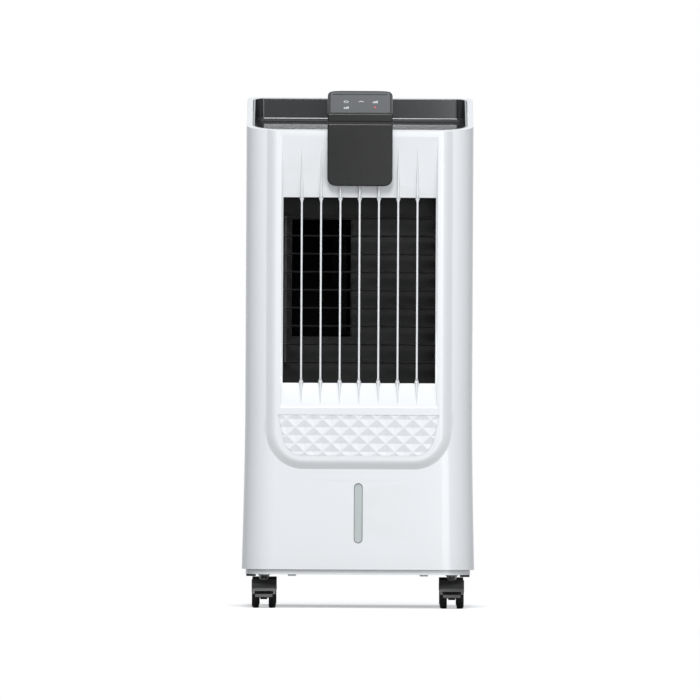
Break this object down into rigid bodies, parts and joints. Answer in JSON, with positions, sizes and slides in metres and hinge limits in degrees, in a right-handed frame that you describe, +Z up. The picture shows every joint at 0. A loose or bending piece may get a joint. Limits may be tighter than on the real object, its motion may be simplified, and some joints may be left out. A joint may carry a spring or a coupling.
{
  "type": "evaporative cooler",
  "caption": "Upright portable evaporative cooler with swing vanes, tilting blades, a sliding water tank and twin-wheel casters.",
  "frame": {"origin": "on the floor under the middle of the overall box", "axes": "+Z up, front (air outlet) towards -Y, +X to the right of someone looking at the front"},
  "size_m": [0.29, 0.3, 0.645],
  "materials": {
    "white_plastic": "glossy white moulding",
    "dark_grey_plastic": "glossy dark grey",
    "black_plastic": "satin black",
    "touch_glass": "smooth grey touch film",
    "clear_plastic": "cloudy clear moulding",
    "motor_steel": "plated steel",
    "caster_steel": "plated steel",
    "pad_paper": "corrugated pad",
    "hose_rubber": "black rubber",
    "caster_plastic": "satin black nylon"
  },
  "bodies": {
    "chassis": {"front_shell": "white_plastic", "rear_shell": "white_plastic", "top_tray": "dark_grey_plastic", "control_head": "black_plastic", "touch_overlay": "touch_glass", "pattern_panel": "white_plastic", "level_window": "clear_plastic", "duct_frame": "black_plastic", "scroll_housing": "black_plastic", "fan_motor": "motor_steel", "swing_motor": "motor_steel", "cooling_pad": "pad_paper", "pad_frame": "black_plastic", "supply_hose": "hose_rubber", "base_plate": "white_plastic", "caster_stem_front_left": "caster_steel", "caster_stem_front_right": "caster_steel", "caster_stem_rear_left": "caster_steel", "caster_stem_rear_right": "caster_steel"},
    "tank": {"water_tank": "clear_plastic", "pump": "black_plastic"},
    "grille": {"rear_grille": "white_plastic"},
    "latch": {"tank_latch": "black_plastic"},
    "impeller": {"blower_wheel": "black_plastic"},
    "vane_1": {"vane_1": "white_plastic"},
    "vane_2": {"vane_2": "white_plastic"},
    "vane_3": {"vane_3": "white_plastic"},
    "vane_4": {"vane_4": "white_plastic"},
    "vane_5": {"vane_5": "white_plastic"},
    "vane_6": {"vane_6": "white_plastic"},
    "vane_7": {"vane_7": "white_plastic"},
    "vane_link": {"vane_link": "black_plastic"},
    "blade_1": {"blade_1": "black_plastic"},
    "blade_2": {"blade_2": "black_plastic"},
    "blade_3": {"blade_3": "black_plastic"},
    "blade_4": {"blade_4": "black_plastic"},
    "blade_5": {"blade_5": "black_plastic"},
    "blade_6": {"blade_6": "black_plastic"},
    "blade_7": {"blade_7": "black_plastic"},
    "blade_8": {"blade_8": "black_plastic"},
    "blade_9": {"blade_9": "black_plastic"},
    "blade_link": {"blade_link": "black_plastic"},
    "caster_front_left": {"caster_hood_front_left": "caster_plastic", "caster_axle_front_left": "caster_steel"},
    "caster_wheel_front_left_left": {"caster_wheel_front_left_left": "caster_plastic"},
    "caster_wheel_front_left_right": {"caster_wheel_front_left_right": "caster_plastic"},
    "caster_brake_front_left": {"caster_brake_front_left": "caster_plastic"},
    "caster_front_right": {"caster_hood_front_right": "caster_plastic", "caster_axle_front_right": "caster_steel"},
    "caster_wheel_front_right_left": {"caster_wheel_front_right_left": "caster_plastic"},
    "caster_wheel_front_right_right": {"caster_wheel_front_right_right": "caster_plastic"},
    "caster_brake_front_right": {"caster_brake_front_right": "caster_plastic"},
    "caster_rear_left": {"caster_hood_rear_left": "caster_plastic", "caster_axle_rear_left": "caster_steel"},
    "caster_wheel_rear_left_left": {"caster_wheel_rear_left_left": "caster_plastic"},
    "caster_wheel_rear_left_right": {"caster_wheel_rear_left_right": "caster_plastic"},
    "caster_rear_right": {"caster_hood_rear_right": "caster_plastic", "caster_axle_rear_right": "caster_steel"},
    "caster_wheel_rear_right_left": {"caster_wheel_rear_right_left": "caster_plastic"},
    "caster_wheel_rear_right_right": {"caster_wheel_rear_right_right": "caster_plastic"}
  },
  "joints": [
    {"name": "tank_slide", "type": "slide", "parent": "chassis", "child": "tank", "axis": [0, 1, 0], "range_m": [0, 0.2]},
    {"name": "grille_pull", "type": "slide", "parent": "chassis", "child": "grille", "axis": [0, 1, 0], "range_m": [0, 0.08]},
    {"name": "latch_turn", "type": "hinge", "parent": "chassis", "child": "latch", "pos_m": [0, 0.143, 0.182], "axis": [0, 1, 0], "range_deg": [0, 90]},
    {"name": "impeller_spin", "type": "hinge", "parent": "chassis", "child": "impeller", "pos_m": [0.02, 0, 0.4], "axis": [0, 0, 1], "continuous": true},
    {"name": "vane_1_swing", "type": "hinge", "parent": "chassis", "child": "vane_1", "pos_m": [-0.072, -0.135, 0.2805], "axis": [0, 0, 1], "range_deg": [-30, 30]},
    {"name": "vane_2_swing", "type": "hinge", "parent": "chassis", "child": "vane_2", "pos_m": [-0.048, -0.135, 0.2805], "axis": [0, 0, 1], "range_deg": [-30, 30]},
    {"name": "vane_3_swing", "type": "hinge", "parent": "chassis", "child": "vane_3", "pos_m": [-0.024, -0.135, 0.2805], "axis": [0, 0, 1], "range_deg": [-30, 30]},
    {"name": "vane_4_swing", "type": "hinge", "parent": "chassis", "child": "vane_4", "pos_m": [0, -0.135, 0.2805], "axis": [0, 0, 1], "range_deg": [-30, 30]},
    {"name": "vane_5_swing", "type": "hinge", "parent": "chassis", "child": "vane_5", "pos_m": [0.024, -0.135, 0.2805], "axis": [0, 0, 1], "range_deg": [-30, 30]},
    {"name": "vane_6_swing", "type": "hinge", "parent": "chassis", "child": "vane_6", "pos_m": [0.048, -0.135, 0.2805], "axis": [0, 0, 1], "range_deg": [-30, 30]},
    {"name": "vane_7_swing", "type": "hinge", "parent": "chassis", "child": "vane_7", "pos_m": [0.072, -0.135, 0.2805], "axis": [0, 0, 1], "range_deg": [-30, 30]},
    {"name": "vane_link_pivot", "type": "hinge", "parent": "vane_1", "child": "vane_link", "pos_m": [-0.072, -0.118, 0.277], "axis": [0, 0, 1], "range_deg": [-30, 30]},
    {"name": "blade_1_tilt", "type": "hinge", "parent": "chassis", "child": "blade_1", "pos_m": [0, -0.098, 0.486], "axis": [1, 0, 0], "range_deg": [-30, 30]},
    {"name": "blade_2_tilt", "type": "hinge", "parent": "chassis", "child": "blade_2", "pos_m": [0, -0.098, 0.46353], "axis": [1, 0, 0], "range_deg": [-30, 30]},
    {"name": "blade_3_tilt", "type": "hinge", "parent": "chassis", "child": "blade_3", "pos_m": [0, -0.098, 0.44105], "axis": [1, 0, 0], "range_deg": [-30, 30]},
    {"name": "blade_4_tilt", "type": "hinge", "parent": "chassis", "child": "blade_4", "pos_m": [0, -0.098, 0.41857], "axis": [1, 0, 0], "range_deg": [-30, 30]},
    {"name": "blade_5_tilt", "type": "hinge", "parent": "chassis", "child": "blade_5", "pos_m": [0, -0.098, 0.3961], "axis": [1, 0, 0], "range_deg": [-30, 30]},
    {"name": "blade_6_tilt", "type": "hinge", "parent": "chassis", "child": "blade_6", "pos_m": [0, -0.098, 0.37362], "axis": [1, 0, 0], "range_deg": [-30, 30]},
    {"name": "blade_7_tilt", "type": "hinge", "parent": "chassis", "child": "blade_7", "pos_m": [0, -0.098, 0.35115], "axis": [1, 0, 0], "range_deg": [-30, 30]},
    {"name": "blade_8_tilt", "type": "hinge", "parent": "chassis", "child": "blade_8", "pos_m": [0, -0.098, 0.32867], "axis": [1, 0, 0], "range_deg": [-30, 30]},
    {"name": "blade_9_tilt", "type": "hinge", "parent": "chassis", "child": "blade_9", "pos_m": [0, -0.098, 0.3062], "axis": [1, 0, 0], "range_deg": [-30, 30]},
    {"name": "blade_link_pivot", "type": "hinge", "parent": "blade_1", "child": "blade_link", "pos_m": [-0.0936, -0.084, 0.486], "axis": [1, 0, 0], "range_deg": [-30, 30]},
    {"name": "caster_front_left_swivel", "type": "hinge", "parent": "chassis", "child": "caster_front_left", "pos_m": [-0.117, -0.107, 0.03], "axis": [0, 0, 1], "continuous": true},
    {"name": "caster_wheel_front_left_left_roll", "type": "hinge", "parent": "caster_front_left", "child": "caster_wheel_front_left_left", "pos_m": [-0.123, -0.121, 0.016], "axis": [1, 0, 0], "continuous": true},
    {"name": "caster_wheel_front_left_right_roll", "type": "hinge", "parent": "caster_front_left", "child": "caster_wheel_front_left_right", "pos_m": [-0.111, -0.121, 0.016], "axis": [1, 0, 0], "continuous": true},
    {"name": "caster_brake_front_left_press", "type": "hinge", "parent": "caster_front_left", "child": "caster_brake_front_left", "pos_m": [-0.117, -0.1405, 0.0175], "axis": [1, 0, 0], "range_deg": [0, 20]},
    {"name": "caster_front_right_swivel", "type": "hinge", "parent": "chassis", "child": "caster_front_right", "pos_m": [0.117, -0.107, 0.03], "axis": [0, 0, 1], "continuous": true},
    {"name": "caster_wheel_front_right_left_roll", "type": "hinge", "parent": "caster_front_right", "child": "caster_wheel_front_right_left", "pos_m": [0.111, -0.121, 0.016], "axis": [1, 0, 0], "continuous": true},
    {"name": "caster_wheel_front_right_right_roll", "type": "hinge", "parent": "caster_front_right", "child": "caster_wheel_front_right_right", "pos_m": [0.123, -0.121, 0.016], "axis": [1, 0, 0], "continuous": true},
    {"name": "caster_brake_front_right_press", "type": "hinge", "parent": "caster_front_right", "child": "caster_brake_front_right", "pos_m": [0.117, -0.1405, 0.0175], "axis": [1, 0, 0], "range_deg": [0, 20]},
    {"name": "caster_rear_left_swivel", "type": "hinge", "parent": "chassis", "child": "caster_rear_left", "pos_m": [-0.117, 0.108, 0.03], "axis": [0, 0, 1], "continuous": true},
    {"name": "caster_wheel_rear_left_left_roll", "type": "hinge", "parent": "caster_rear_left", "child": "caster_wheel_rear_left_left", "pos_m": [-0.123, 0.094, 0.016], "axis": [1, 0, 0], "continuous": true},
    {"name": "caster_wheel_rear_left_right_roll", "type": "hinge", "parent": "caster_rear_left", "child": "caster_wheel_rear_left_right", "pos_m": [-0.111, 0.094, 0.016], "axis": [1, 0, 0], "continuous": true},
    {"name": "caster_rear_right_swivel", "type": "hinge", "parent": "chassis", "child": "caster_rear_right", "pos_m": [0.117, 0.108, 0.03], "axis": [0, 0, 1], "continuous": true},
    {"name": "caster_wheel_rear_right_left_roll", "type": "hinge", "parent": "caster_rear_right", "child": "caster_wheel_rear_right_left", "pos_m": [0.111, 0.094, 0.016], "axis": [1, 0, 0], "continuous": true},
    {"name": "caster_wheel_rear_right_right_roll", "type": "hinge", "parent": "caster_rear_right", "child": "caster_wheel_rear_right_right", "pos_m": [0.123, 0.094, 0.016], "axis": [1, 0, 0], "continuous": true}
  ],
  "couplings": [
    {"joint": "vane_2_swing", "follows": "vane_1_swing", "ratio": 1},
    {"joint": "vane_3_swing", "follows": "vane_1_swing", "ratio": 1},
    {"joint": "vane_4_swing", "follows": "vane_1_swing", "ratio": 1},
    {"joint": "vane_5_swing", "follows": "vane_1_swing", "ratio": 1},
    {"joint": "vane_6_swing", "follows": "vane_1_swing", "ratio": 1},
    {"joint": "vane_7_swing", "follows": "vane_1_swing", "ratio": 1},
    {"joint": "vane_link_pivot", "follows": "vane_1_swing", "ratio": -1},
    {"joint": "blade_2_tilt", "follows": "blade_1_tilt", "ratio": 1},
    {"joint": "blade_3_tilt", "follows": "blade_1_tilt", "ratio": 1},
    {"joint": "blade_4_tilt", "follows": "blade_1_tilt", "ratio": 1},
    {"joint": "blade_5_tilt", "follows": "blade_1_tilt", "ratio": 1},
    {"joint": "blade_6_tilt", "follows": "blade_1_tilt", "ratio": 1},
    {"joint": "blade_7_tilt", "follows": "blade_1_tilt", "ratio": 1},
    {"joint": "blade_8_tilt", "follows": "blade_1_tilt", "ratio": 1},
    {"joint": "blade_9_tilt", "follows": "blade_1_tilt", "ratio": 1},
    {"joint": "blade_link_pivot", "follows": "blade_1_tilt", "ratio": -1}
  ]
}
